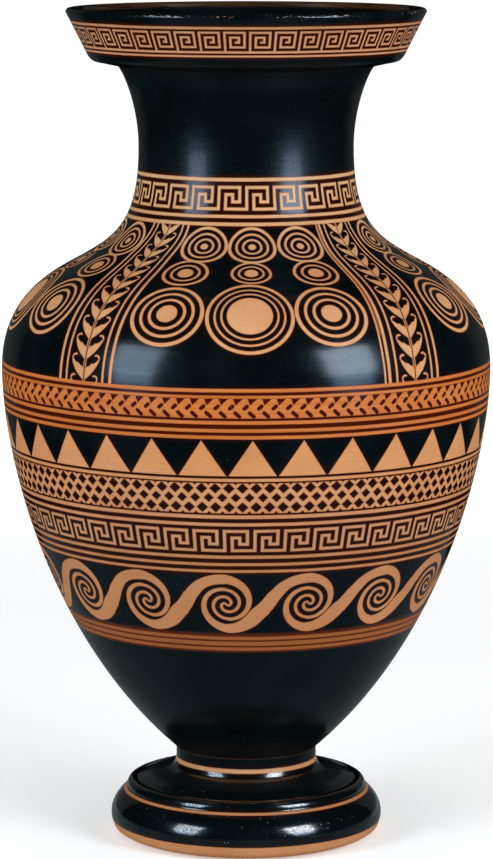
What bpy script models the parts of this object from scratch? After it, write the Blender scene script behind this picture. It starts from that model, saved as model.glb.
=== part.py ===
# A painted clay vase: a round foot, a short stem, a deep body, a narrow neck and a flared mouth.
# It is one turned and fired solid, hollow and open at the top, and hollow under the foot.
# Metres, +Z up. The origin is the centre of the ring that the foot stands on.

import math

import bpy
from mathutils import Vector

MM = 0.001

# Foot, from the ground up
STANDING_RADIUS = 59.0 * MM     # outer edge of the flat ring that touches the ground
STANDING_RING = 8.0 * MM        # width of that ring
BASE_FLARE = 9.2 * MM           # width of the rounded edge between the ring and the side
BASE_RISE = 5.0 * MM
TORUS_RADIUS = 69.4 * MM        # widest line of the foot
TORUS_WAIST = 5.1 * MM          # from the rounded edge up to the widest line
TORUS_CROWN = 12.7 * MM         # from the widest line up to the ledge
LEDGE_RADIUS = 62.8 * MM        # outer edge of the narrow ledge
LEDGE_WIDTH = 1.6 * MM
LEDGE_RISE = 1.3 * MM
BEAD_WIDTH = 5.1 * MM           # rounded edge of the disc, above the ledge
BEAD_RISE = 4.5 * MM
DISC_WIDTH = 6.0 * MM           # nearly flat top of the disc
DISC_RISE = 2.4 * MM
COVE_RISE = 9.1 * MM            # hollow curve from the disc up to the stem
STEM_RADIUS = 35.8 * MM
STEM_RISE = 5.2 * MM
CROWN = 12.0 * MM               # clay between the hollow of the foot and the body's base

# Body and neck, from the stem up
BODY_SLOPE = math.radians(41)   # the body's first slope, from level
BELLY_RADIUS = 123.6 * MM       # widest line of the body
BELLY_RISE = 195.9 * MM
SHOULDER_RADIUS = 83.5 * MM     # line where the shoulder turns from full to hollow
SHOULDER_RISE = 55.8 * MM
SHOULDER_SLOPE = math.radians(29.4)
NECK_RADIUS = 54.1 * MM         # narrowest line of the neck
NECK_RISE = 55.7 * MM
FLARE_RADIUS = 64.5 * MM        # where the neck meets the mouth's underside
FLARE_RISE = 40.1 * MM
FLARE_SLOPE = math.radians(39.5)
WALL = 6.5 * MM
FLOOR = 4.5 * MM                # clay between the body's base and the cavity

# Mouth
UNDERSIDE_WIDTH = 10.0 * MM     # nearly flat underside
UNDERSIDE_RISE = 2.2 * MM
MOUTH_ROUNDING = 5.3 * MM       # width of the rounding under the slanted face
MOUTH_ROUNDING_RISE = 4.0 * MM
FACE_FLARE = 8.8 * MM           # how far the slanted face leans out
FACE_RISE = 17.4 * MM
FACE_WALL = 7.5 * MM            # level thickness of the wall behind the face
LIP_PROUD = 1.8 * MM            # how far the lip stands out beyond the face
LIP_RISE = 3.4 * MM
LIP_ROUNDING = 1.9 * MM
LIP_WIDTH = 8.0 * MM

TURN_STEPS = 60


def heading(angle):
    """Direction in the profile's plane, as an angle from level and outward."""
    return Vector((math.cos(angle), math.sin(angle)))


def curve(handles, count, inset=0.0):
    """Points along a cubic curve after its first point, moved inward by inset."""
    start, leave, arrive, end = handles
    points = []
    for i in range(1, count + 1):
        t = i / count
        s = 1 - t
        place = start * s ** 3 + leave * 3 * s * s * t + arrive * 3 * s * t * t + end * t ** 3
        along = (leave - start) * s * s + (arrive - leave) * 2 * s * t + (end - arrive) * t * t
        along.normalize()
        points.append(place + Vector((-along.y, along.x)) * inset)
    return points


def foot_profile():
    """Outer side of the foot and the stem, from the standing ring up."""
    up = Vector((0, 1))
    out = Vector((1, 0))
    ring = Vector((STANDING_RADIUS, 0))
    side = ring + Vector((BASE_FLARE, BASE_RISE))
    widest = Vector((TORUS_RADIUS, side.y + TORUS_WAIST))
    ledge = Vector((LEDGE_RADIUS, widest.y + TORUS_CROWN))
    bead = ledge + Vector((-LEDGE_WIDTH, LEDGE_RISE))
    disc = bead + Vector((-BEAD_WIDTH, BEAD_RISE))
    cove = disc + Vector((-DISC_WIDTH, DISC_RISE))
    stem = Vector((STEM_RADIUS, cove.y + COVE_RISE))
    base = stem + up * STEM_RISE
    points = [ring]
    points += curve((ring, ring + out * BASE_FLARE * 0.15, side - up * BASE_RISE * 0.5, side), 3)
    points += curve((side, side + (widest - side) * 0.3, widest - up * TORUS_WAIST * 0.5, widest), 2)
    points += curve((widest, widest + up * TORUS_CROWN * 0.5,
                     ledge + heading(math.radians(-45)) * TORUS_CROWN * 0.3, ledge), 4)
    points += [bead]
    points += curve((bead, bead + up * BEAD_RISE * 0.3, disc + out * BEAD_WIDTH * 0.3, disc), 2)
    points += [cove]
    points += curve((cove, cove + (cove - disc) * 1.5, stem - up * COVE_RISE * 0.4, stem), 4)
    points += [base]
    return points


def body_curves(base):
    """Outer curves of the body and the neck, from the body's base up to the mouth's underside."""
    up = Vector((0, 1))
    belly = Vector((BELLY_RADIUS, base.y + BELLY_RISE))
    shoulder = Vector((SHOULDER_RADIUS, belly.y + SHOULDER_RISE))
    neck = Vector((NECK_RADIUS, shoulder.y + NECK_RISE))
    flare = Vector((FLARE_RADIUS, neck.y + FLARE_RISE))
    inward = heading(math.pi - SHOULDER_SLOPE)
    return [
        (base, base + heading(BODY_SLOPE) * BELLY_RISE * 0.435, belly - up * BELLY_RISE * 0.235, belly),
        (belly, belly + up * SHOULDER_RISE * 0.67, shoulder - inward * SHOULDER_RISE * 0.26, shoulder),
        (shoulder, shoulder + inward * NECK_RISE * 0.37, neck - up * NECK_RISE * 0.67, neck),
        (neck, neck + up * FLARE_RISE * 0.51, flare - heading(FLARE_SLOPE) * FLARE_RISE * 0.08, flare),
    ]


def mouth_profile(flare):
    """Outer side of the mouth above the neck, over the lip and down to the foot of its inner face."""
    up = Vector((0, 1))
    out = Vector((1, 0))
    slant = Vector((FACE_FLARE, FACE_RISE))
    rim = flare + Vector((UNDERSIDE_WIDTH, UNDERSIDE_RISE))
    face = rim + Vector((MOUTH_ROUNDING, MOUTH_ROUNDING_RISE))
    edge = face + slant + Vector((LIP_PROUD, LIP_RISE))
    crestOuter = edge + Vector((-LIP_ROUNDING, LIP_ROUNDING))
    crestInner = crestOuter - out * (LIP_WIDTH - 2 * LIP_ROUNDING)
    inner = edge - out * LIP_WIDTH
    innerFoot = face + slant * (WALL / FACE_RISE) + Vector((-FACE_WALL, 0))
    bend = 0.55 * LIP_ROUNDING
    points = [rim]
    points += curve((rim, rim + out * MOUTH_ROUNDING * 0.45, face - slant * 0.15, face), 3)
    points += [face + slant, edge]
    points += curve((edge, edge + up * bend, crestOuter + out * bend, crestOuter), 2)
    points += [crestInner]
    points += curve((crestInner, crestInner - out * bend, inner + up * bend, inner), 2)
    points += [innerFoot]
    return points


def vase_profile():
    """Half section from the cavity's floor, over the lip and down the outer side, to the foot's hollow."""
    up = Vector((0, 1))
    out = Vector((1, 0))
    foot = foot_profile()
    base = foot[-1]
    curves = body_curves(base)
    body = []
    for handles, count in zip(curves, (10, 6, 6, 4)):
        body += curve(handles, count)
    cavity = []
    for handles, count in zip(curves, (7, 4, 4, 3)):
        cavity += curve(handles, count, WALL)
    mouth = mouth_profile(body[-1])

    floor = Vector((0, base.y + FLOOR))
    wallFoot = base + heading(BODY_SLOPE + math.pi / 2) * WALL
    bottom = [floor] + curve((floor, floor + out * wallFoot.x * 0.5, wallFoot - out * wallFoot.x * 0.2, wallFoot), 2)
    throatEnd = cavity[-1] + heading(FLARE_SLOPE) * UNDERSIDE_WIDTH * 0.5
    faceFoot = mouth[-1] - Vector((FACE_FLARE, FACE_RISE)) * 0.15
    throat = curve((cavity[-1], throatEnd, faceFoot, mouth[-1]), 3)[:-1]

    recess = foot[0] - out * STANDING_RING
    top = Vector((0, base.y - CROWN))
    hollow = [recess] + curve((recess, recess + up * top.y * 0.5, top + out * recess.x * 0.55, top), 4)
    return bottom + cavity + throat + mouth[::-1] + body[::-1] + foot[::-1] + hollow


def glazed_clay():
    """Glossy black slip, the colour that covers most of the vase."""
    material = bpy.data.materials.new("blackSlip")
    material.use_nodes = True
    shader = material.node_tree.nodes["Principled BSDF"]
    shader.inputs["Base Color"].default_value = (0.010, 0.012, 0.013, 1.0)
    shader.inputs["Roughness"].default_value = 0.22
    shader.inputs["Metallic"].default_value = 0.0
    return material


def turned(name, profile, material, collection):
    """A solid turned about Z from a half section that starts and ends on the axis."""
    mesh = bpy.data.meshes.new(name)
    vertices = [(point.x, 0, point.y) for point in profile]
    edges = [(i, i + 1) for i in range(len(profile) - 1)]
    mesh.from_pydata(vertices, edges, [])
    piece = bpy.data.objects.new(name, mesh)
    collection.objects.link(piece)
    screw = piece.modifiers.new("turn", "SCREW")
    screw.axis = "Z"
    screw.angle = math.tau
    screw.steps = TURN_STEPS
    screw.render_steps = TURN_STEPS
    screw.use_merge_vertices = True
    screw.merge_threshold = 0.01 * MM
    screw.use_smooth_shade = True
    mesh.materials.append(material)
    return piece


for leftover in list(bpy.data.objects):
    bpy.data.objects.remove(leftover)
vaseParts = bpy.data.collections.new("painted_vase")
bpy.context.scene.collection.children.link(vaseParts)
turned("vase", vase_profile(), glazed_clay(), vaseParts)
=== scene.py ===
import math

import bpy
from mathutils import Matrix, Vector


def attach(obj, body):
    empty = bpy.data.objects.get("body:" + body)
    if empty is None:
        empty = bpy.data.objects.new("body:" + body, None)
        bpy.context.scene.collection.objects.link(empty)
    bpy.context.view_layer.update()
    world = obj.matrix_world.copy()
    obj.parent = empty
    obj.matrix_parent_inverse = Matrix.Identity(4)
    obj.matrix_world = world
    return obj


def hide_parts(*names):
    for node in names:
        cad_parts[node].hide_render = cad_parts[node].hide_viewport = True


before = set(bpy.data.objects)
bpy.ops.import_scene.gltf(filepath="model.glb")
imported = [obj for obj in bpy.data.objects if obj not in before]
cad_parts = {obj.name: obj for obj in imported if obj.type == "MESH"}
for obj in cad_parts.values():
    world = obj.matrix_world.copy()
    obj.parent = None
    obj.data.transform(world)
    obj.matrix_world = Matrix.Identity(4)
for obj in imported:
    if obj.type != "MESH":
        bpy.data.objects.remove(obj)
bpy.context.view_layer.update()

# A painted clay vase: glossy black slip over tan clay, with bands of key, lattice, braid,
# tooth, wave, ring and laurel pattern. Lengths are millimetres and angles are degrees,
# measured from the front (-Y) towards the viewer's right (+X). "Height along the wall" is
# measured on the outer side, from the edge of the standing ring up to the lip.

mm = 0.001


foot = {
    "standingRadius": 59.0, "standingRing": 8.0, "baseFlare": 9.2, "baseRise": 5.0,
    "torusRadius": 69.4, "torusWaist": 5.1, "torusCrown": 12.7, "torusTurn": -45.0,
    "ledgeRadius": 62.8, "ledgeWidth": 1.6, "ledgeRise": 1.3,
    "beadWidth": 5.1, "beadRise": 4.5, "discWidth": 6.0, "discRise": 2.4,
    "beadFullness": 0.9,            # how far the bead bulges
    # tight corner between the cove and the stem, with the directions in which the wall meets and leaves it
    "cornerRadius": 37.3, "cornerRise": 4.3, "coveTurn": 161.0, "cornerTurn": 115.0,
    "coveReach": 3.5, "cornerReach": 1.2, "stemReach": 2.0,     # how far the curves' handles go there
    "coveRise": 9.1, "stemRadius": 35.8, "stemRise": 5.2, "crown": 12.0,
}
body = {
    "slope": 41.0, "bellyRadius": 123.6, "bellyRise": 195.9,
    "shoulderRadius": 83.5, "shoulderRise": 55.8, "shoulderSlope": 29.4,
    "neckRadius": 54.1, "neckRise": 55.7,
    "flareRadius": 64.5, "flareRise": 40.1, "flareSlope": 39.5,
    "wall": 6.5, "floor": 4.5,
}
mouth = {
    "undersideWidth": 10.0, "undersideRise": 2.2, "rounding": 5.3, "roundingRise": 4.0,
    "faceFlare": 8.8, "faceRise": 17.4, "faceWall": 7.5,
    "lipProud": 1.8, "lipRise": 3.4, "lipRounding": 1.9, "lipWidth": 8.0,
}
turning = {
    "steps": 296, "merge": 0.004,
    "cornerCut": 0.35, "cornerAngle": 14.0,     # sharper corners than this get two close points
    "stemHeight": 64.27,                        # wall height of the stem that the pattern goes by
}
# how far apart the profile's points are, in millimetres
pointGaps = {
    "baseFlare": 1.2, "torus": 1.5, "ledge": 1.0, "bead": 0.6, "disc": 2.0, "cove": 1.6, "corner": 0.8,
    "stem": 1.8, "side": 3.2, "underside": 2.0, "rounding": 1.0, "face": 2.0, "lipProud": 1.0, "lip": 0.6,
    "crest": 1.5, "innerFace": 3.0, "throat": 2.5, "cavity": 8.0, "floor": 6.0, "hollow": 5.0,
}
up = Vector((0, 1))
out = Vector((1, 0))


def heading(degrees):
    return Vector((math.cos(math.radians(degrees)), math.sin(math.radians(degrees))))


def curve(handles, spacing, inset=0.0):
    # points along a cubic curve after its first point, moved inward by inset
    start, leave, arrive, end = handles
    count = max(2, round((end - start).length / spacing))
    points = []
    for i in range(1, count + 1):
        t = i / count
        s = 1 - t
        place = start * s ** 3 + leave * 3 * s * s * t + arrive * 3 * s * t * t + end * t ** 3
        along = (leave - start) * s * s + (arrive - leave) * 2 * s * t + (end - arrive) * t * t
        along.normalize()
        points.append(place + Vector((-along.y, along.x)) * inset)
    return points


def line(start, end, spacing):
    return curve((start, start + (end - start) / 3, end - (end - start) / 3, end), spacing)


# a bare number in the profiles is the share of a curve's own width or rise that its handle reaches
def footProfile():
    ring = Vector((foot["standingRadius"], 0))
    side = ring + Vector((foot["baseFlare"], foot["baseRise"]))
    widest = Vector((foot["torusRadius"], side.y + foot["torusWaist"]))
    ledge = Vector((foot["ledgeRadius"], widest.y + foot["torusCrown"]))
    bead = ledge + Vector((-foot["ledgeWidth"], foot["ledgeRise"]))
    disc = bead + Vector((-foot["beadWidth"], foot["beadRise"]))
    cove = disc + Vector((-foot["discWidth"], foot["discRise"]))
    stem = Vector((foot["stemRadius"], cove.y + foot["coveRise"]))
    base = stem + up * foot["stemRise"]
    crown = foot["torusCrown"]
    points = [ring]
    points += curve((ring, ring + out * foot["baseFlare"] * 0.15,
                     side - up * foot["baseRise"] * 0.5, side), pointGaps["baseFlare"])
    points += curve((side, side + (widest - side) * 0.3,
                     widest - up * foot["torusWaist"] * 0.5, widest), pointGaps["torus"])
    points += curve((widest, widest + up * crown * 0.5,
                     ledge + heading(foot["torusTurn"]) * crown * 0.3, ledge), pointGaps["torus"])
    points += line(ledge, bead, pointGaps["ledge"])
    points += curve((bead, bead + up * foot["beadRise"] * foot["beadFullness"],
                     disc + out * foot["beadWidth"] * 0.45, disc), pointGaps["bead"])
    points += line(disc, cove, pointGaps["disc"])
    corner = Vector((foot["cornerRadius"], cove.y + foot["cornerRise"]))
    points += curve((cove, cove + (cove - disc) * 0.8,
                     corner - heading(foot["coveTurn"]) * foot["coveReach"], corner), pointGaps["cove"])
    points += curve((corner, corner + heading(foot["cornerTurn"]) * foot["cornerReach"],
                     stem - up * foot["stemReach"], stem), pointGaps["corner"])
    points += line(stem, base, pointGaps["stem"])
    return points, {"ring": ring, "disc": disc, "stem": stem, "base": base}


def bodyCurves(base):
    belly = Vector((body["bellyRadius"], base.y + body["bellyRise"]))
    shoulder = Vector((body["shoulderRadius"], belly.y + body["shoulderRise"]))
    neck = Vector((body["neckRadius"], shoulder.y + body["neckRise"]))
    flare = Vector((body["flareRadius"], neck.y + body["flareRise"]))
    inward = heading(180 - body["shoulderSlope"])
    return [
        (base, base + heading(body["slope"]) * body["bellyRise"] * 0.435,
         belly - up * body["bellyRise"] * 0.235, belly),
        (belly, belly + up * body["shoulderRise"] * 0.67,
         shoulder - inward * body["shoulderRise"] * 0.26, shoulder),
        (shoulder, shoulder + inward * body["neckRise"] * 0.37,
         neck - up * body["neckRise"] * 0.67, neck),
        (neck, neck + up * body["flareRise"] * 0.51,
         flare - heading(body["flareSlope"]) * body["flareRise"] * 0.08, flare),
    ]


def mouthProfile(flare):
    # outer side of the mouth up to the lip's inner edge, then the foot of its inner face
    slant = Vector((mouth["faceFlare"], mouth["faceRise"]))
    rim = flare + Vector((mouth["undersideWidth"], mouth["undersideRise"]))
    face = rim + Vector((mouth["rounding"], mouth["roundingRise"]))
    edge = face + slant + Vector((mouth["lipProud"], mouth["lipRise"]))
    crestOuter = edge + Vector((-mouth["lipRounding"], mouth["lipRounding"]))
    crestInner = crestOuter - out * (mouth["lipWidth"] - 2 * mouth["lipRounding"])
    inner = edge - out * mouth["lipWidth"]
    innerFoot = face + slant * (body["wall"] / mouth["faceRise"]) - out * mouth["faceWall"]
    bend = 0.55 * mouth["lipRounding"]
    points = line(flare, rim, pointGaps["underside"])
    points += curve((rim, rim + out * mouth["rounding"] * 0.45,
                     face - slant * 0.15, face), pointGaps["rounding"])
    points += line(face, face + slant, pointGaps["face"])
    points += line(face + slant, edge, pointGaps["lipProud"])
    points += curve((edge, edge + up * bend, crestOuter + out * bend, crestOuter), pointGaps["lip"])
    points += line(crestOuter, crestInner, pointGaps["crest"])
    points += curve((crestInner, crestInner - out * bend, inner + up * bend, inner), pointGaps["lip"])
    points += line(inner, innerFoot, pointGaps["innerFace"])
    return points, {"lipOuter": crestOuter, "lipInner": crestInner}


def vaseProfile():
    # from the axis under the foot, up the outer side, over the lip and down to the cavity's floor
    footSide, marks = footProfile()
    base = footSide[-1]
    curves = bodyCurves(base)
    side = []
    for handles in curves:
        side += curve(handles, pointGaps["side"])
    cavity = []
    for handles in curves:
        cavity += curve(handles, pointGaps["cavity"], body["wall"])
    mouthSide, mouthMarks = mouthProfile(side[-1])
    marks.update(mouthMarks, neckInside=curves[3][0] - out * body["wall"])

    floorMiddle = Vector((0, base.y + body["floor"]))
    wallFoot = base + heading(body["slope"] + 90) * body["wall"]
    bottom = [floorMiddle] + curve((floorMiddle, floorMiddle + out * wallFoot.x * 0.5,
                                    wallFoot - out * wallFoot.x * 0.2, wallFoot), pointGaps["floor"])
    throatEnd = cavity[-1] + heading(body["flareSlope"]) * mouth["undersideWidth"] * 0.5
    faceFoot = mouthSide[-1] - Vector((mouth["faceFlare"], mouth["faceRise"])) * 0.15
    throat = curve((cavity[-1], throatEnd, faceFoot, mouthSide[-1]), pointGaps["throat"])[:-1]

    recess = footSide[0] - out * foot["standingRing"]
    top = Vector((0, base.y - foot["crown"]))
    hollow = [recess] + curve((recess, recess + up * top.y * 0.5,
                               top + out * recess.x * 0.55, top), pointGaps["hollow"])
    inside = (bottom + cavity + throat)[::-1]
    return hollow[::-1] + footSide + side + mouthSide + inside, marks


def softened(points, cut, angle):
    # a sharp corner gets two points a little way from it, so that smooth shading keeps its edge
    softer = [points[0]]
    for before, corner, after in zip(points, points[1:], points[2:]):
        arrive = corner - before
        leave = after - corner
        if math.degrees(arrive.angle(leave)) < angle:
            softer.append(corner)
            continue
        near = min(cut, arrive.length * 0.4, leave.length * 0.4)
        first = corner - arrive.normalized() * near
        last = corner + leave.normalized() * near
        softer += [first, (first + last) / 4 + corner / 2, last]
    return softer + [points[-1]]


def bakeRows(arcs, plan):
    # shares of the texture's height: most of it goes to the painted side
    rows = []
    for arc in arcs:
        for (lowArc, lowRow), (highArc, highRow) in zip(plan, plan[1:]):
            if arc <= highArc or highArc == plan[-1][0]:
                rows.append(lowRow + (highRow - lowRow) * (arc - lowArc) / (highArc - lowArc))
                break
    return rows


def profileLine():
    points, marks = vaseProfile()
    points = softened(points, turning["cornerCut"], turning["cornerAngle"])
    arcs = [0.0]
    for before, after in zip(points, points[1:]):
        arcs.append(arcs[-1] + (after - before).length)
    places = {name: min(range(len(points)), key=lambda i: (points[i] - mark).length)
              for name, mark in marks.items()}
    start = arcs[places["ring"]]
    arcs = [arc - start for arc in arcs]
    # the pattern's heights suit a plainer cove, so those from the stem up are set back to it
    low, high = arcs[places["disc"]], arcs[places["stem"]]
    excess = high - turning["stemHeight"]
    arcs = [arc - excess * min(max((arc - low) / (high - low), 0.0), 1.0) for arc in arcs]
    wallHeights = {name: arcs[place] for name, place in places.items()}
    print("wall heights:", {name: round(height, 1) for name, height in wallHeights.items()})
    plan = ((arcs[0], 0.005), (0.0, 0.06), (150.0, 0.22), (524.0, 0.93), (arcs[-1], 0.995))
    mesh = bpy.data.meshes.new("vaseProfile")
    edges = [(i, i + 1) for i in range(len(points) - 1)]
    mesh.from_pydata([(point.x * mm, 0, point.y * mm) for point in points], edges, [])
    for name, values in (("arcMm", arcs), ("bakeRow", bakeRows(arcs, plan))):
        mesh.attributes.new(name, "FLOAT", "POINT").data.foreach_set("value", values)
    return mesh, wallHeights


def latheTree():
    # turns a profile line about Z: rings of vertices from the profile, seam and poles merged
    tree = bpy.data.node_groups.new("lathe", "GeometryNodeTree")
    tree.is_modifier = True
    socket = tree.interface.new_socket
    socket("Profile", in_out="INPUT", socket_type="NodeSocketGeometry")
    socket("Turn Steps", in_out="INPUT", socket_type="NodeSocketInt")
    socket("Merge Distance", in_out="INPUT", socket_type="NodeSocketFloat")
    socket("Clay", in_out="INPUT", socket_type="NodeSocketMaterial")
    socket("Vase", in_out="OUTPUT", socket_type="NodeSocketGeometry")

    def add(kind, settings=None, inputs=None):
        node = tree.nodes.new(kind)
        for name, value in (settings or {}).items():
            setattr(node, name, value)
        for name, value in (inputs or {}).items():
            if isinstance(value, bpy.types.NodeSocket):
                tree.links.new(value, node.inputs[name])
            else:
                node.inputs[name].default_value = value
        return node

    def sums(operation, *values):
        return add("ShaderNodeMath", {"operation": operation}, dict(enumerate(values))).outputs[0]

    given = add("NodeGroupInput").outputs
    count = add("GeometryNodeAttributeDomainSize", {"component": "MESH"},
                {"Geometry": given["Profile"]}).outputs["Point Count"]
    grid = add("GeometryNodeMeshGrid", None, {
        "Size X": 1.0, "Size Y": 1.0, "Vertices X": sums("ADD", given["Turn Steps"], 1),
        "Vertices Y": count})
    place = add("ShaderNodeSeparateXYZ", None, {0: add("GeometryNodeInputPosition").outputs[0]}).outputs
    turn = sums("ADD", place["X"], 0.5)
    ring = sums("ROUND", sums("MULTIPLY", sums("ADD", place["Y"], 0.5), sums("SUBTRACT", count, 1)))

    def along(kind, field):
        return add("GeometryNodeSampleIndex", {"data_type": kind, "domain": "POINT"},
                   {"Geometry": given["Profile"], "Value": field, "Index": ring}).outputs[0]

    def named(name):
        return add("GeometryNodeInputNamedAttribute", {"data_type": "FLOAT"}, {"Name": name}).outputs[0]

    spot = add("ShaderNodeSeparateXYZ", None,
               {0: along("FLOAT_VECTOR", add("GeometryNodeInputPosition").outputs[0])}).outputs
    angle = sums("MULTIPLY", sums("SUBTRACT", turn, 0.5), math.tau)
    turned = add("ShaderNodeCombineXYZ", None, {
        "X": sums("MULTIPLY", spot["X"], sums("SINE", angle)),
        "Y": sums("MULTIPLY", sums("MULTIPLY", spot["X"], sums("COSINE", angle)), -1.0),
        "Z": spot["Z"]}).outputs[0]

    # the values are kept before the points move, because they are read from the flat grid
    shape = add("GeometryNodeStoreNamedAttribute", {"data_type": "FLOAT", "domain": "POINT"},
                {"Geometry": grid.outputs["Mesh"], "Name": "arcMm", "Value": along("FLOAT", named("arcMm"))})
    flat = add("ShaderNodeCombineXYZ", None, {"X": turn, "Y": along("FLOAT", named("bakeRow"))}).outputs[0]
    shape = add("GeometryNodeStoreNamedAttribute", {"data_type": "FLOAT2", "domain": "CORNER"},
                {"Geometry": shape.outputs[0], "Name": "OFBake", "Value": flat})
    shape = add("GeometryNodeSetPosition", None, {"Geometry": shape.outputs[0], "Position": turned})
    shape = add("GeometryNodeMergeByDistance", None,
                {"Geometry": shape.outputs[0], "Distance": given["Merge Distance"]})
    shape = add("GeometryNodeSetShadeSmooth", None, {"Geometry": shape.outputs[0]})
    shape = add("GeometryNodeRealizeInstances", None, {"Geometry": shape.outputs[0]})
    shape = add("GeometryNodeSetMaterial", None, {"Geometry": shape.outputs[0], "Material": given["Clay"]})
    add("NodeGroupOutput", None, {"Vase": shape.outputs[0]})
    return tree


def turnedVase(mesh, clay):
    raw = bpy.data.objects.new("vaseRaw", mesh)
    bpy.context.scene.collection.objects.link(raw)
    modifier = raw.modifiers.new("lathe", "NODES")
    modifier.node_group = latheTree()
    values = {"Turn Steps": turning["steps"], "Merge Distance": turning["merge"] * mm, "Clay": clay}
    for item in modifier.node_group.interface.items_tree:
        if item.name in values:
            modifier[item.identifier] = values[item.name]
    raw.update_tag()
    ready = raw.evaluated_get(bpy.context.evaluated_depsgraph_get())
    shape = bpy.data.meshes.new_from_object(ready)
    raw.modifiers.clear()
    bpy.data.objects.remove(raw)
    shape.name = "paintedVase"
    if signedVolume(shape) < 0:
        shape.flip_normals()
    vase = bpy.data.objects.new("paintedVase", shape)
    bpy.context.scene.collection.objects.link(vase)
    print("vase:", len(shape.vertices), "vertices, maps", [layer.name for layer in shape.uv_layers])
    return vase


def signedVolume(shape):
    total = 0.0
    shape.calc_loop_triangles()
    for face in shape.loop_triangles:
        a, b, c = (shape.vertices[i].co for i in face.vertices)
        total += a.dot(b.cross(c)) / 6
    return total


class Signal:
    # a socket of the clay's node tree: sums on it add Math nodes

    def __init__(self, tree, socket):
        self.tree = tree
        self.socket = socket

    def node(self, kind, settings=None, inputs=None, output=0):
        made = self.tree.nodes.new(kind)
        for name, value in (settings or {}).items():
            if name == "stops":
                ramp = made.color_ramp.elements
                while len(ramp) < len(value):
                    ramp.new(0.5)
                for stop, (position, colour) in zip(ramp, value):
                    stop.position = position
                    stop.color = (*colour, 1.0)
            elif name == "curve":
                points = made.mapping.curves[0].points
                while len(points) < len(value):
                    points.new(0.5, 0.5)
                for point, place in zip(points, value):
                    point.location = place
                made.mapping.update()
            else:
                setattr(made, name, value)
        for name, value in (inputs or {}).items():
            if isinstance(value, Signal):
                self.tree.links.new(value.socket, made.inputs[name])
            elif isinstance(value, tuple) and len(value) == 3 and made.inputs[name].type == "RGBA":
                made.inputs[name].default_value = (*value, 1.0)
            else:
                made.inputs[name].default_value = value
        return Signal(self.tree, made.outputs[output])

    def math(self, operation, *values):
        return self.node("ShaderNodeMath", {"operation": operation}, dict(enumerate(values)))

    def __add__(self, other):
        return self.math("ADD", self, other)

    def __radd__(self, other):
        return self.math("ADD", other, self)

    def __sub__(self, other):
        return self.math("SUBTRACT", self, other)

    def __rsub__(self, other):
        return self.math("SUBTRACT", other, self)

    def __mul__(self, other):
        return self.math("MULTIPLY", self, other)

    def __rmul__(self, other):
        return self.math("MULTIPLY", other, self)

    def __truediv__(self, other):
        return self.math("DIVIDE", self, other)

    def __abs__(self):
        return self.math("ABSOLUTE", self)

    def __neg__(self):
        return self.math("MULTIPLY", self, -1.0)


def lesser(first, *others):
    for other in others:
        first = first.math("MINIMUM", first, other)
    return first


def greater(first, *others):
    for other in others:
        first = first.math("MAXIMUM", first, other)
    return first


def length(first, second):
    return first.math("SQRT", first * first + second * second)


def sine(degrees):
    return degrees.math("SINE", degrees * math.radians(1))


def wrapped(value, low, high):
    return value.math("WRAP", value, high, low)


def step(value, low, high):
    # 0 at low and 1 at high, smooth between; low may be the larger
    return value.node("ShaderNodeMapRange", {"interpolation_type": "SMOOTHSTEP"},
                      {"Value": value, "From Min": low, "From Max": high})


def curved(value, points, scale):
    # a smooth curve through a few measured places; value is from 0 to 1, and so is the curve's height
    scaled = [(place, height / scale) for place, height in points]
    return value.node("ShaderNodeFloatCurve", {"curve": scaled}, {"Value": value}) * scale


def blend(factor, first, second):
    return factor.node("ShaderNodeMix", {"data_type": "RGBA"}, {0: factor, 6: first, 7: second}, 2)


def noise(place, scale, detail=3.0, roughness=0.55):
    return place.node("ShaderNodeTexNoise", None,
                      {"Vector": place, "Scale": scale, "Detail": detail, "Roughness": roughness})


def span(value, low, high):
    # distance inside an interval: positive between low and high
    return abs(value - (low + high) / 2) * -1.0 + (high - low) / 2


def box(across, rise, left, low, right, high):
    return lesser(span(across, left, right), span(rise, low, high))


def nearest(turn, pitch, centre):
    # turn from the nearest of a row of equal units, one of them at centre
    return wrapped(turn - centre, -pitch / 2, pitch / 2)


# tan and orange lines that run right round, as low and high edges along the wall
lines = {
    "tan": [
        (-90.0, 13.9), (30.7, 32.6), (61.85, 64.15),
        (200.4, 202.1), (204.15, 205.9), (208.1, 210.0), (225.6, 227.5), (229.5, 231.6),
        (248.6, 250.4), (394.25, 396.35), (398.35, 400.25), (416.55, 418.55),
        (491.45, 492.75), (493.65, 495.05), (506.75, 508.35),
    ],
    "orange": [
        (154.25, 156.3), (157.35, 159.9), (160.9, 163.0),
        (269.9, 271.75), (273.2, 275.05), (277.1, 279.0), (289.75, 291.25), (292.6, 294.5),
    ],
    "waver": 0.45,          # how far the brush wanders, in millimetres
    "waverScale": 26.0,     # wanders per metre
}


def lineDistance(arc, kind):
    return greater(*[span(arc, low, high) for low, high in lines[kind]])


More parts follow.
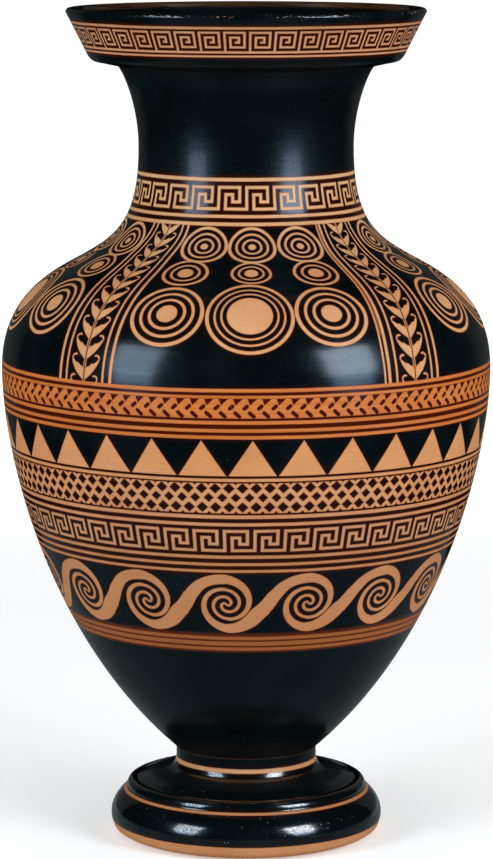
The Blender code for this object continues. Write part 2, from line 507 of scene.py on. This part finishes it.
# bars of a key unit as left, top, right, bottom in cells, counted from its upper left corner
wideKey = {"across": 8, "down": 7, "bars": [
    (0, 0, 1, 7), (0, 0, 7, 1), (6, 0, 7, 5), (4, 4, 7, 5), (4, 2, 5, 5), (2, 2, 5, 3),
    (2, 2, 3, 7), (2, 6, 10, 7), (-2, 6, 1, 7)]}
rimKey = {"across": 9, "down": 8, "bars": [
    (0, 0, 1, 10), (0, 0, 8, 1), (7, 0, 8, 7), (2, 6, 8, 7), (2, 2, 3, 7), (2, 2, 6, 3),
    (5, 2, 6, 5), (4, 4, 6, 5)]}
keyOverlap = 0.6        # a bar may run on this far below its band
keyBands = [
    # count round the vase, turn of one unit's left edge, unevenness of the spacing in degrees
    {"key": wideKey, "count": 48, "left": 1.72, "warp": 0.0, "low": 211.8, "high": 223.9, "cell": 1.75},
    {"key": wideKey, "count": 26, "left": 13.27, "warp": -1.1, "low": 402.2, "high": 414.65, "cell": 1.75},
    {"key": rimKey, "count": 44, "left": 0.85, "warp": -0.5, "low": 495.1, "high": 505.8, "cell": 1.34},
]


def keyDistance(turn, arc, band):
    key = band["key"]
    pitch = 360.0 / band["count"]
    sway = turn + sine(turn) * band["warp"]
    across = wrapped(sway - band["left"], 0.0, pitch) * (key["across"] / pitch)
    down = (band["high"] - arc) * (key["down"] / (band["high"] - band["low"]))
    bars = [box(across, down, *bar) for bar in key["bars"]]
    inside = greater(*bars) * band["cell"]
    return lesser(inside, span(arc, band["low"] - keyOverlap, band["high"]))


teeth = {"count": 31, "centre": 1.5, "apex": 269.5, "base": 251.45, "halfWidth": 11.8}


def toothDistance(turn, arc, perDegree):
    pitch = 360.0 / teeth["count"]
    away = abs(nearest(turn, pitch, teeth["centre"])) * perDegree
    slope = teeth["halfWidth"] / (teeth["apex"] - teeth["base"])
    side = ((teeth["apex"] - arc) * slope - away) * math.cos(math.atan(slope))
    return lesser(side, arc - teeth["base"])


lattice = {
    "count": 113, "centre": -0.83, "low": 232.4, "high": 248.0,
    # dark diamonds: middle along the wall, shift in units, half width and half height
    "rows": [(245.35, 0.0, 2.7, 2.55), (240.6, 0.5, 2.35, 2.25), (235.65, 0.0, 2.7, 2.55),
             (248.1, 0.5, 0.95, 0.95), (232.4, 0.5, 1.1, 1.1)],
    "slant": 0.7,           # distance from a diamond's slanted edge, as a share of that along the wall
}


def latticeDistance(turn, arc, perDegree):
    pitch = 360.0 / lattice["count"]
    gaps = []
    for middle, shift, halfAcross, halfUp in lattice["rows"]:
        away = abs(nearest(turn, pitch, lattice["centre"] + shift * pitch)) * perDegree
        spread = away * (1 / halfAcross) + abs(arc - middle) * (1 / halfUp)
        gaps.append((spread - 1.0) * (halfUp * lattice["slant"]))
    return lesser(span(arc, lattice["low"], lattice["high"]), *gaps)


braid = {
    "count": 112, "low": 280.1, "high": 289.75,
    # dark notches along the top: turn, top, tip, half width, lean of the tip to the left
    "notch": (1.38, 289.6, 286.6, 2.2, 0.35),
    # dark dashes with round ends: turn, middle, lean, half length between the ends, half width
    "strokes": [(-0.10, 285.5, 40.0, 0.85, 0.85), (1.25, 281.95, -42.0, 1.35, 0.85)],
}


def braidDistance(turn, arc, perDegree):
    pitch = 360.0 / braid["count"]
    centre, top, tip, halfWidth, lean = braid["notch"]
    away = nearest(turn, pitch, centre) * perDegree + (top - arc) * lean
    slope = halfWidth / (top - tip)
    gaps = [-lesser((arc - tip) * slope - abs(away), top - arc)]
    for centre, middle, lean, halfLength, halfWidth in braid["strokes"]:
        away = nearest(turn, pitch, centre) * perDegree
        rise = arc - middle
        cosine = math.cos(math.radians(lean))
        tilt = math.sin(math.radians(lean))
        along = away * cosine + rise * tilt
        beyond = greater(abs(along) - halfLength, 0.0)
        gaps.append(length(beyond, rise * cosine - away * tilt) - halfWidth)
    return lesser(span(arc, braid["low"], braid["high"]), *gaps)


waves = {
    "count": 15, "centre": -5.74, "warp": 1.94, "middle": 182.4, "mmPerDegree": 1.69,
    "armSpacing": 4.25, "armOffset": 4.15, "armHalfWidth": 1.2, "eye": 0.75,
    # ribbon's edges from the spiral's centre, against the half turn from below (0) to above (1)
    "outerNear": [(0.0, 9.55), (0.25, 10.9), (0.5, 12.4), (0.75, 14.5), (1.0, 17.05)],
    "outerFar": [(0.0, 17.05), (0.25, 19.05), (0.417, 21.6), (0.5, 25.0), (0.58, 30.0), (1.0, 60.0)],
    "innerFar": [(0.0, 11.5), (0.25, 12.3), (0.417, 13.5), (0.5, 15.7), (0.583, 19.95), (0.667, 27.0),
                 (1.0, 60.0)],
    "closing": 0.95,        # how far the ribbon closes on the spiral on its right, and stands off on its left
    "closingFrom": (0.02, 0.30), "closingTo": (0.55, 0.42),
    "gapEnd": 10.5,         # radius where the spiral's gaps end
    "reach": 60.0,          # largest radius of the ribbon's edges
    "low": 163.8, "high": 199.6,
}


def waveDistance(turn, arc):
    pitch = 360.0 / waves["count"]
    sway = turn + sine(turn) * waves["warp"]
    away = nearest(sway, pitch, waves["centre"]) * waves["mmPerDegree"]
    rise = arc - waves["middle"]
    radius = length(away, rise)
    angle = turn.math("ARCTAN2", rise, away) * math.degrees(1)
    spacing = waves["armSpacing"]
    arms = (radius - angle * (2 * spacing / 360) - waves["armOffset"]) / spacing
    stripes = abs(wrapped(arms, -0.5, 0.5)) * spacing - waves["armHalfWidth"]
    stripes = greater(stripes, waves["eye"] - radius)
    # the spiral's gaps end half way between its last gap and the ribbon's edge
    half = wrapped(angle, -90.0, 90.0)
    share = (half + 90.0) * (1 / 180)
    within = greater(stripes, radius - waves["gapEnd"] - half * (spacing / 180))
    near = lesser(within, curved(share, waves["outerNear"], waves["reach"]) - radius)
    closing = step(share, *waves["closingFrom"]) * step(share, *waves["closingTo"]) * -waves["closing"]
    side = turn.math("SIGN", away) * closing
    far = lesser(radius - curved(share, waves["innerFar"], waves["reach"]) - side,
                 curved(share, waves["outerFar"], waves["reach"]) - radius)
    return lesser(greater(near, far), span(arc, waves["low"], waves["high"]))


outerRings = {
    "top": [(0.845, 1.0), (0.582, 0.70), (0.315, 0.431), (-1, 0.168)],
    "middle": [(0.845, 1.0), (0.53, 0.657), (-1, 0.345)],
    "bottom": [(0.883, 1.0), (0.655, 0.751), (0.427, 0.523), (-1, 0.288)],
    "large": [(0.908, 1.0), (0.755, 0.814), (0.607, 0.665), (-1, 0.519)],
}
circles = [
    # height along the wall, half width in degrees, half height, tan parts as shares of that, and turns
    {"middle": 382.4, "halfTurn": 10.15, "halfUp": 11.68, "tan": outerRings["top"],
     "turns": [-17.6, 2.5, 23.1, -60, -81, -102, 69, 90, 111, 149, 170, -148, -169]},
    {"middle": 361.9, "halfTurn": 8.05, "halfUp": 10.65, "tan": outerRings["middle"],
     "turns": [-20.4, 23.65, -60.7, -102, 67, 109.5, 149, 170, -148, -169]},
    {"middle": 362.7, "halfTurn": 6.92, "halfUp": 9.03, "tan": outerRings["middle"],
     "turns": [1.7, -81, 88]},
    {"middle": 331.9, "halfTurn": 9.78, "halfUp": 18.2, "tan": outerRings["bottom"],
     "turns": [-20.4, 22.1, -59.6, -102.4, 63.5, 106.5, 149, 170, -148, -169]},
    {"middle": 332.0, "halfTurn": 11.32, "halfUp": 21.36, "tan": outerRings["large"],
     "turns": [0.96, -81, 85]},
]


def circleDistance(turn, arc):
    found = []
    for row in circles:
        away = lesser(*[abs(turn - middle) for middle in row["turns"]])
        share = length(away * (1 / row["halfTurn"]), (arc - row["middle"]) * (1 / row["halfUp"]))
        found.append(greater(*[span(share, low, high) for low, high in row["tan"]]) * row["halfUp"])
    return greater(*found)


laurel = {
    # turn of each strip's stem at the shoulder line, and its lean by the shoulder's top and by the neck
    "strips": [(-39.5, -0.7, 2.2), (41.6, 4.0, 0.8), (128.5, 0.0, 0.0), (-125.5, 0.0, 0.0)],
    "leanOver": (305.0, 372.0), "tipOver": (372.0, 394.0),      # wall heights over which it leans
    "low": 294.6, "high": 394.35, "leafStart": 295.4, "leafPitch": 10.0,
    "overlap": 1.0,                             # the strips run this far under the lines below and above
    "crowdFrom": 345.0, "crowding": 0.0004,     # leaves get shorter towards the neck
    "narrowing": (300.0, 165.0),                # strips keep their width near 300 and narrow towards the neck
    "leafWidth": 8.8, "stemHalf": 0.95, "veinHalf": 0.2,
    "stripHalf": 17.0,                          # circles stay this far from a strip's stem
    # a leaf leaves the stem between these shares of its pitch, and how far off it is before and after
    "gapOver": (0.42, 0.75), "gapLow": 0.3, "gapHigh": 2.0,
    "borders": [(11.6, 0.75), (16.0, 0.95)],    # middle and half width of the lines beside the leaves
    "thirdLine": {"strip": 1, "middle": -18.7, "half": 0.65, "fillFrom": 318.0, "fillGap": 0.2},
    # edges of a leaf: shares of its pitch against shares of its width
    "leafLow": [(0.0, 0.0), (0.12, 0.0), (0.3, 0.12), (0.5, 0.27), (0.75, 0.53), (0.9, 0.75), (1.0, 0.98)],
    "leafTop": [(0.0, 0.62), (0.17, 0.64), (0.34, 0.69), (0.5, 0.80), (0.6, 0.80), (0.78, 0.90),
                (0.9, 1.0), (1.0, 1.08)],
    "leafMost": 1.2, "lowSlope": 6.2, "topSlope": 7.5,      # largest share, and millimetres per share
    # hook at the leaf's tip: centre, radius, half thickness, and the direction of its open side's far end
    "hook": {"centre": (6.75, 10.35), "radius": 1.6, "half": 0.58, "faces": 60.0, "spread": 72.0,
             "from": 0.7},      # share of the pitch where a hook's own stretch of the strip starts
}


def laurelDistance(turn, arc, perDegree):
    # distances inside the strips' tan parts and inside the orange fill, and from the nearest stem
    lower = step(arc, *laurel["leanOver"])
    upper = step(arc, *laurel["tipOver"])
    full, fade = laurel["narrowing"]
    drop = (arc - full) * (1 / fade)
    scale = perDegree / (1.0 - drop * drop)
    offsets = []
    for centre, lean, tip in laurel["strips"]:
        stem = turn - centre
        if lean:
            stem = stem - lower * lean - upper * tip
        offsets.append(stem * scale)
    across = lesser(*[abs(offset) for offset in offsets])

    crowd = greater(arc - laurel["crowdFrom"], 0.0)
    pitch = laurel["leafPitch"]
    leaf = (arc - laurel["leafStart"]) * (1 / pitch) + crowd * crowd * laurel["crowding"]
    low = wrapped(leaf, 0.0, 1.0)
    share = across * (1 / laurel["leafWidth"])
    gap = step(low, *laurel["gapOver"]) * (laurel["gapHigh"] - laurel["gapLow"]) + laurel["gapLow"]
    blade = lesser((low - curved(share, laurel["leafLow"], laurel["leafMost"])) * laurel["lowSlope"],
                   (curved(share, laurel["leafTop"], laurel["leafMost"]) - low) * laurel["topSlope"],
                   across - gap, laurel["leafWidth"] - across)
    hook = laurel["hook"]
    fromCentre = across - hook["centre"][0]
    fromMiddle = wrapped(leaf, hook["from"], hook["from"] + 1.0) * pitch - hook["centre"][1]
    faces = math.radians(hook["faces"])
    facing = fromCentre * math.cos(faces) + fromMiddle * math.sin(faces)
    curl = lesser(hook["half"] - abs(length(fromCentre, fromMiddle) - hook["radius"]),
                  facing - hook["radius"] * math.cos(math.radians(hook["spread"])))
    stem = laurel["stemHalf"] - across
    borders = [span(across, middle - half, middle + half) for middle, half in laurel["borders"]]

    third = laurel["thirdLine"]
    offset = offsets[third["strip"]]
    extra = span(offset, third["middle"] - third["half"], third["middle"] + third["half"])
    outerBorder = laurel["borders"][1][0] + laurel["borders"][1][1]
    fill = span(offset, third["middle"] + third["half"] + third["fillGap"], -outerBorder - third["fillGap"])
    fill = lesser(fill, arc - third["fillFrom"], laurel["high"] - arc)
    leaves = lesser(greater(blade, stem), across - laurel["veinHalf"])
    return greater(leaves, curl, extra, *borders), fill, across


texture = {
    # noise in space: scale per metre, and detail
    "cloud": (34.0, 5.0), "grain": (1100.0, 2.0),
    # streaks round the vase: turns, fineness along the wall, seed, and detail
    "brush": (2.2, 0.9, 0.0, 4.0), "fineBrush": (5.0, 2.6, 40.0, 3.0), "chips": (48.0, 2.8, 90.0, 2.0),
    "streakRoughness": 0.6,
    "core": 0.4,            # share of a line's or spot's spread that has its full strength
}
paint = {
    "ragged": 0.16, "tight": 0.06,      # how far the brush moves an edge, and how far all edges draw in
    "blur": 0.15,                       # half width of the change from slip to clay
    "stain": (0.50, 0.05), "stainStrength": 0.65,       # slip that stains the clay along an edge
    "insideRagged": 9.0,                # how uneven the slip's lower edge is inside the neck
}
slip = {
    "black": (0.0011, 0.0026, 0.0031), "cool": (0.0024, 0.0048, 0.0060), "coolClouds": (0.4, 0.7),
    "brown": (0.021, 0.0028, 0.0002),       # thin slip beside the clay
    "redBrown": (0.050, 0.0045, 0.0002), "redBrownShare": 0.9,      # between the high orange lines
    "lowBrown": (0.085, 0.0140, 0.0010), "lowBrownShare": 0.8,      # between the low ones
    "thin": (-2.3, -0.35),                  # distances from the clay's edge, in millimetres
    "thinBands": [(199.0, 251.0), (393.0, 420.0), (490.0, 510.0)],  # bands where all the slip is thin
    "bandBlur": 1.0, "thinElsewhere": 0.4,
}
bare = {
    "tan": (0.580, 0.273, 0.123), "pale": (0.645, 0.330, 0.166), "paleClouds": (0.38, 0.62),
    "fleck": (0.475, 0.202, 0.083), "fleckGrain": (0.56, 0.75), "fleckStrength": 0.45,
    "orange": (0.405, 0.102, 0.011), "paleOrange": (0.480, 0.150, 0.028), "orangeBrush": (0.35, 0.65),
    "lowOrange": (0.250, 0.072, 0.013), "fillBlur": 0.2,
    "edge": (0.290, 0.075, 0.012),          # where the slip stains the clay
    # wall heights between which each orange group begins, and ends
    "highGroup": [(269.6, 270.0), (294.9, 294.3)], "lowGroup": [(152.6, 153.8), (166.0, 163.4)],
    # the tan's tone by height along the wall, partly the clay's own and partly painted shade and sheen: it
    # darkens and reddens the tan where the wall faces down, as on the lower belly and the mouth's face, and
    # pales it with painted sheen where highlights fall, as on the stem's line and the neck's bands
    "top": 520.0, "toneAndPaintedLight": [
        (0, (0.76, 0.67, 0.52)), (14, (0.76, 0.67, 0.52)), (31, (0.71, 0.60, 0.52)),
        (63, (0.93, 0.94, 0.90)), (165, (0.68, 0.58, 0.45)), (207, (0.60, 0.52, 0.43)),
        (215, (0.64, 0.66, 0.67)), (228, (0.70, 0.66, 0.60)), (246, (0.75, 0.72, 0.66)),
        (256, (0.80, 0.70, 0.53)), (268, (0.80, 0.70, 0.53)), (322, (0.87, 0.89, 0.84)),
        (355, (0.87, 0.80, 0.74)), (385, (0.85, 0.96, 1.0)), (402, (0.90, 1.0, 1.0)),
        (420, (0.84, 1.0, 1.0)), (490, (0.76, 0.77, 0.83)), (502, (0.68, 0.70, 0.73)),
        (507, (0.57, 0.58, 0.60))],
}
wear = {
    "dust": (0.36, 0.34, 0.31), "dustCells": 560.0, "dustShare": 0.13, "dustShareFoot": 0.34,
    "dustFoot": (70.0, 60.0),               # the foot's dust ends between these wall heights
    "dustSpread": 0.30, "dustStrength": 0.60,   # how much larger the largest specks are, and how bright
    "dustSize": (0.060, 0.015), "dustRough": 0.2,
    "rubbed": (0.075, 0.032, 0.013), "rubbedBrush": (0.78, 1.08),
    # lines where brown shows through: spread and strength
    "rubbedLines": {"lipInner": (0.9, 1.0), "lipOuter": (0.6, 0.2),
                    "incised": (0.5, 0.7), "base": (0.45, 0.8)},
    "incised": 38.0,                        # wall height of the line round the foot, by the disc's edge
    # the lip's back: how far beyond its inner edge, spread, metres behind the axis, and strength
    "backLip": {"beyond": 1.2, "spread": (3.4, 1.6), "behind": (0.01, 0.04), "strength": 0.7},
    "chipped": (0.46, 0.38, 0.33), "chippedClay": (0.48, 0.19, 0.075),
    # chips along the lip's front: from, to in degrees, and whether they reach the clay's colour
    "chips": [(-36.0, -20.0, 0.0), (-10.5, -4.0, 1.0), (11.5, 35.0, 0.0), (62.0, 70.0, 0.0)],
    "chipEnds": (-1.0, 1.5), "chipBelow": 2.2, "chipSpread": (0.6, 0.2), "chipNoise": (0.57, 0.62),
    # stray chips all round
    "strayBelow": 2.0, "straySpread": (2.4, 1.0), "strayNoise": (0.69, 0.74), "strayStrength": 0.7,
    "bareInside": 60.0,                     # the slip ends this far below the neck's narrowest line, inside
}
gloss = {
    "foot": 0.88, "body": 0.12, "clay": 0.05, "footTop": 62.0, "footBlur": 2.0, "coatRoughness": 0.12,
    "slipRoughness": 0.18, "clayRoughness": 0.50, "level": 0.20, "tint": (0.50, 0.74, 1.0), "coatIndex": 1.5,
    "least": 0.75, "byBrush": 0.30, "brushed": (0.3, 0.7), "byGrain": 3.6,      # how uneven the coat is
    "dull": [(52.0, 6.0), (77.0, 11.0), (470.0, 11.0)],     # middle and spread along the wall
    "dullShare": 0.8, "dullRough": 0.28, "bandShare": 0.6, "bandRough": 0.04,
    "neck": 436.0, "neckSpread": (30.0, 16.0), "neckRough": 0.10,
    "brushRough": 0.16, "grainRough": 0.25,
}
relief = {
    "brush": 0.050, "fineBrush": 0.030, "neckFineBrush": 0.060, "grain": 0.036,
    "footShare": 0.85,                      # share of the relief that the polished foot lacks
    "strength": 0.55, "depth": 0.001,
}


def clayMaterial(heights):
    material = bpy.data.materials.new("paintedClay")
    material.use_nodes = True
    tree = material.node_tree
    shader = tree.nodes["Principled BSDF"]
    start = Signal(tree, None)
    place = start.node("ShaderNodeTexCoord", None, None, "Object")
    x, y = [place.node("ShaderNodeSeparateXYZ", None, {0: place}, axis) for axis in "XY"]
    arc = start.node("ShaderNodeAttribute", {"attribute_name": "arcMm"}, None, "Fac")
    turn = start.math("ARCTAN2", x, -y) * math.degrees(1)
    reach = length(x, y) * (1 / mm)
    perDegree = reach * math.radians(1)
    # noise that runs round the vase without a seam: long across, fine along the wall
    around = place.node("ShaderNodeVectorMath", {"operation": "MULTIPLY"}, {0: place, 1: (1.0, 1.0, 0.0)})
    around = place.node("ShaderNodeVectorMath", {"operation": "NORMALIZE"}, {0: around})
    aroundX, aroundY = [around.node("ShaderNodeSeparateXYZ", None, {0: around}, axis) for axis in "XY"]

    def streaks(turns, fineness, seed, detail):
        long = start.node("ShaderNodeCombineXYZ", None, {
            "X": aroundX * turns, "Y": aroundY * turns, "Z": arc * fineness + seed})
        return noise(long, 1.0, detail, texture["streakRoughness"])

    def near(height, spread):
        return step(abs(arc - height), spread, spread * texture["core"])

    cloud = noise(place, *texture["cloud"])
    grain = noise(place, *texture["grain"])
    brush = streaks(*texture["brush"])
    fineBrush = streaks(*texture["fineBrush"])

    # painted pattern
    arcHand = arc + (noise(place, lines["waverScale"], 2.0) - 0.5) * lines["waver"]
    strips, fill, fromStem = laurelDistance(turn, arc, perDegree)
    strippedCircles = lesser(circleDistance(turn, arc), fromStem - laurel["stripHalf"])
    shoulder = span(arc, laurel["low"] - laurel["overlap"], laurel["high"] + laurel["overlap"])
    field = lesser(greater(strips, strippedCircles), shoulder)
    slipEnd = heights["neckInside"] + wear["bareInside"]
    inside = greater(lineDistance(arcHand, "tan"), lineDistance(arcHand, "orange"), field, fill,
                     *[keyDistance(turn, arcHand, band) for band in keyBands],
                     toothDistance(turn, arcHand, perDegree), latticeDistance(turn, arcHand, perDegree),
                     braidDistance(turn, arcHand, perDegree), waveDistance(turn, arc),
                     arc + (cloud - 0.5) * paint["insideRagged"] - slipEnd)
    inside = inside + (fineBrush - 0.5) * paint["ragged"] - paint["tight"]
    painted = step(inside, -paint["blur"], paint["blur"])
    edge = step(inside, *paint["stain"])

    # bare clay: tan, with an orange wash in two groups
    highGroup, lowGroup = [step(arc, *ends) * step(arc, *begins)
                           for begins, ends in (bare["highGroup"], bare["lowGroup"])]
    tan = blend(step(cloud * 0.5 + fineBrush * 0.5, *bare["paleClouds"]), bare["tan"], bare["pale"])
    tan = blend(step(grain, *bare["fleckGrain"]) * bare["fleckStrength"], tan, bare["fleck"])
    # multiply the tan by its tone by height, which holds painted shade and painted sheen
    toneAndPaintedLight = [(height / bare["top"], shade) for height, shade in bare["toneAndPaintedLight"]]
    shade = arc.node("ShaderNodeValToRGB", {"stops": toneAndPaintedLight}, {"Fac": arc * (1 / bare["top"])})
    tan = tan.node("ShaderNodeMix", {"data_type": "RGBA", "blend_type": "MULTIPLY"},
                   {0: 1.0, 6: tan, 7: shade}, 2)
    orange = blend(step(brush, *bare["orangeBrush"]), bare["orange"], bare["paleOrange"])
    clay = blend(highGroup, tan, orange)
    clay = blend(lowGroup, clay, bare["lowOrange"])
    clay = blend(step(fill, -bare["fillBlur"], bare["fillBlur"]), clay, bare["lowOrange"])
    clay = blend(edge * paint["stainStrength"], clay, bare["edge"])

    # slip: black in the open, brown where the brush left it thin beside the clay
    bands = step(greater(*[span(arc, low, high) for low, high in slip["thinBands"]]),
                 -slip["bandBlur"], slip["bandBlur"])
    thin = step(inside, *slip["thin"]) * (bands * (1.0 - slip["thinElsewhere"]) + slip["thinElsewhere"])
    black = blend(step(cloud, *slip["coolClouds"]), slip["black"], slip["cool"])
    coat = blend(thin, black, slip["brown"])
    coat = blend(highGroup * slip["redBrownShare"], coat, slip["redBrown"])
    coat = blend(lowGroup * slip["lowBrownShare"], coat, slip["lowBrown"])

    # rubbed edges and lines, where brown shows through
    back = wear["backLip"]
    rubbed = step(abs(arc - heights["lipInner"] - back["beyond"]), *back["spread"]) * step(y, *back["behind"])
    rubbed = rubbed * back["strength"]
    for name, (spread, strength) in wear["rubbedLines"].items():
        height = wear["incised"] if name == "incised" else heights[name]
        rubbed = rubbed + near(height, spread) * strength
    rubbed = rubbed * step(brush + fineBrush, *wear["rubbedBrush"])
    coat = blend(lesser(rubbed, 1.0), coat, wear["rubbed"])
    colour = blend(painted, coat, clay)

    # chips along the lip, and dust in the glaze
    chipNoise = streaks(*texture["chips"])
    lipFront = step(abs(arc - heights["lipOuter"] + wear["chipBelow"]), *wear["chipSpread"])
    for low, high, clayChip in wear["chips"]:
        zone = step(span(turn, low, high), *wear["chipEnds"]) * lipFront
        mask = step(chipNoise, *wear["chipNoise"]) * zone
        colour = blend(mask, colour, wear["chippedClay"] if clayChip else wear["chipped"])
    lipAll = step(abs(arc - heights["lipOuter"] + wear["strayBelow"]), *wear["straySpread"])
    stray = step(chipNoise, *wear["strayNoise"]) * lipAll
    colour = blend(stray * wear["strayStrength"], colour, wear["chipped"])
    cell = {"Vector": place, "Scale": wear["dustCells"]}
    far = place.node("ShaderNodeTexVoronoi", None, cell, "Distance")
    pick = place.node("ShaderNodeTexVoronoi", None, cell, "Color")
    chance = pick.node("ShaderNodeSeparateXYZ", None, {0: pick}, "X")
    share = step(arc, *wear["dustFoot"]) * (wear["dustShareFoot"] - wear["dustShare"]) + wear["dustShare"]
    dust = step(far + (1.0 - share - chance) * wear["dustSpread"], *wear["dustSize"])
    colour = blend(dust * (1.0 - painted) * wear["dustStrength"], colour, wear["dust"])

    # gloss: the foot shines more than the brushed body, and bare clay hardly at all
    onFoot = step(arc, gloss["footTop"] + gloss["footBlur"], gloss["footTop"])
    onNeck = step(abs(arc - gloss["neck"]), *gloss["neckSpread"])
    # dull where a polished wall would mirror the painted lines of the foot and the mouth
    dull = greater(*[near(middle, spread) for middle, spread in gloss["dull"]])
    shine = onFoot * (gloss["foot"] - gloss["body"]) + gloss["body"]
    uneven = step(brush, *gloss["brushed"]) * gloss["byBrush"] + (grain - 0.5) * gloss["byGrain"]
    shine = shine * (uneven + (fineBrush - 0.5) + gloss["least"])
    shine = shine * (1.0 - dull * gloss["dullShare"]) * (1.0 - bands * gloss["bandShare"])
    shine = shine * (1.0 - painted) + painted * gloss["clay"]
    rough = gloss["slipRoughness"] + painted * (gloss["clayRoughness"] - gloss["slipRoughness"])
    rough = rough + (brush - 0.5) * gloss["brushRough"] + (grain - 0.5) * gloss["grainRough"]
    rough = rough + dust * wear["dustRough"] + dull * gloss["dullRough"]
    rough = rough - bands * gloss["bandRough"] + onNeck * gloss["neckRough"]
    uneven = brush * relief["brush"] + grain * relief["grain"]
    uneven = uneven + fineBrush * (onNeck * relief["neckFineBrush"] + relief["fineBrush"])
    bump = start.node("ShaderNodeBump", None, {
        "Strength": relief["strength"], "Distance": relief["depth"],
        "Height": uneven * (1.0 - onFoot * relief["footShare"])})

    shader.inputs["Specular IOR Level"].default_value = gloss["level"]
    shader.inputs["Specular Tint"].default_value = (*gloss["tint"], 1.0)
    shader.inputs["Coat Roughness"].default_value = gloss["coatRoughness"]
    shader.inputs["Coat IOR"].default_value = gloss["coatIndex"]
    for name, signal in (("Base Color", colour), ("Roughness", rough),
                         ("Coat Weight", shine), ("Normal", bump)):
        tree.links.new(signal.socket, shader.inputs[name])
    print("clay:", len(tree.nodes), "nodes")
    return material


profile, wallHeights = profileLine()
clay = clayMaterial(wallHeights)
vase = turnedVase(profile, clay)
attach(vase, "root")
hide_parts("vase")
print("vase stands on the frame")

paper = {
    "half": 14.0, "nearEnd": 0.45, "farStart": 1.7,     # in metres from the vase's axis
    "shade": 0.82, "roughness": 0.9, "level": 0.1, "glowNear": 0.34, "glowFar": 0.86,
}


def paperFloor():
    # pale floor, open on all sides; it glows a little far from the vase, where the lamps don't reach
    half = paper["half"]
    mesh = bpy.data.meshes.new("paperFloor")
    edge = [(-half, -half, 0), (half, -half, 0), (half, half, 0), (-half, half, 0)]
    mesh.from_pydata(edge, [], [(0, 1, 2, 3)])
    material = bpy.data.materials.new("palePaper")
    material.use_nodes = True
    shader = material.node_tree.nodes["Principled BSDF"]
    shader.inputs["Base Color"].default_value = (*[paper["shade"]] * 3, 1)
    shader.inputs["Roughness"].default_value = paper["roughness"]
    shader.inputs["Specular IOR Level"].default_value = paper["level"]
    shader.inputs["Emission Strength"].default_value = 1.0
    start = Signal(material.node_tree, None)
    spot = start.node("ShaderNodeTexCoord", None, None, "Object")
    away = spot.node("ShaderNodeVectorMath", {"operation": "LENGTH"}, {0: spot}, "Value")
    near, far = [(paper[name],) * 3 for name in ("glowNear", "glowFar")]
    glow = blend(step(away, paper["nearEnd"], paper["farStart"]), near, far)
    material.node_tree.links.new(glow.socket, shader.inputs["Emission Color"])
    mesh.materials.append(material)
    floor = bpy.data.objects.new("paperFloor", mesh)
    floor.visible_glossy = False
    bpy.context.scene.collection.objects.link(floor)
    return floor


paperFloor()

lights = [
    # name, turn, height angle, distance, width, height, brightness, colour, reflected, lights the clay
    ("leftBox", -53.0, 21.0, 1.5, 0.58, 0.64, 11.0, (0.88, 0.96, 1.0), True, True),
    ("rightBox", 49.0, 21.0, 1.5, 0.64, 0.64, 12.0, (0.93, 0.97, 1.0), True, True),
    ("leftLow", -52.0, 5.5, 1.5, 0.50, 0.26, 9.5, (0.72, 0.86, 1.0), True, False),
    ("rightLow", 49.0, 5.5, 1.5, 0.50, 0.26, 9.5, (0.72, 0.86, 1.0), True, False),
    ("leftLowest", -52.0, -2.0, 1.5, 0.34, 0.16, 1.2, (0.72, 0.86, 1.0), True, False),
    ("rightLowest", 49.0, -2.0, 1.5, 0.34, 0.16, 1.2, (0.72, 0.86, 1.0), True, False),
    ("rightGlint", 49.0, 21.0, 1.46, 0.58, 0.58, 7.0, (1.0, 0.93, 0.86), True, False),
    ("ceiling", 0.0, 90.0, 2.2, 3.0, 3.0, 0.9, (1.0, 1.0, 1.0), False, True),
    ("leftRim", -150.0, 8.0, 1.5, 1.0, 1.2, 0.07, (0.90, 1.0, 1.0), True, False),
    ("rightRim", 150.0, 8.0, 1.5, 1.0, 1.2, 0.07, (0.90, 1.0, 1.0), True, False),
    ("floorGlow", 0.0, -90.0, 0.215, 0.8, 0.8, 0.17, (0.80, 0.95, 1.0), True, False),
]
lampTarget = Vector((0, 0, 0.22))
for name, turn, rise, distance, width, height, brightness, tone, reflected, lightsClay in lights:
    lamp = bpy.data.lights.new(name, "AREA")
    lamp.shape = "RECTANGLE"
    lamp.size = width
    lamp.size_y = height
    lamp.energy = brightness * math.pi * width * height
    lamp.color = tone
    holder = bpy.data.objects.new(name, lamp)
    turn = math.radians(turn)
    rise = math.radians(rise)
    level = math.cos(rise) * distance
    holder.location = lampTarget + Vector((level * math.sin(turn), -level * math.cos(turn),
                                           distance * math.sin(rise)))
    holder.rotation_euler = (lampTarget - holder.location).to_track_quat("-Z", "Y").to_euler()
    holder.visible_camera = False
    holder.visible_glossy = reflected
    holder.visible_diffuse = lightsClay
    bpy.context.scene.collection.objects.link(holder)

air = {"shade": 0.5, "strength": 0.40}
world = bpy.data.worlds.new("studioAir")
world.use_nodes = True
background = world.node_tree.nodes["Background"]
background.inputs["Color"].default_value = (*[air["shade"]] * 3, 1)
background.inputs["Strength"].default_value = air["strength"]
world.cycles_visibility.glossy = False
bpy.context.scene.world = world
bpy.context.scene.view_settings.view_transform = "Standard"

view = {"place": (0.00018, -1.94535, 0.49479), "tilt": 8.377, "lens": 162.18, "sensor": 36.0}
camera = bpy.data.cameras.new("photoCamera")
camera.lens = view["lens"]
camera.sensor_width = view["sensor"]
camera.sensor_fit = "AUTO"
eye = bpy.data.objects.new("photoCamera", camera)
eye.location = view["place"]
eye.rotation_euler = (math.radians(90 - view["tilt"]), 0, 0)
bpy.context.scene.collection.objects.link(eye)
bpy.context.scene.camera = eye
print("studio is lit")
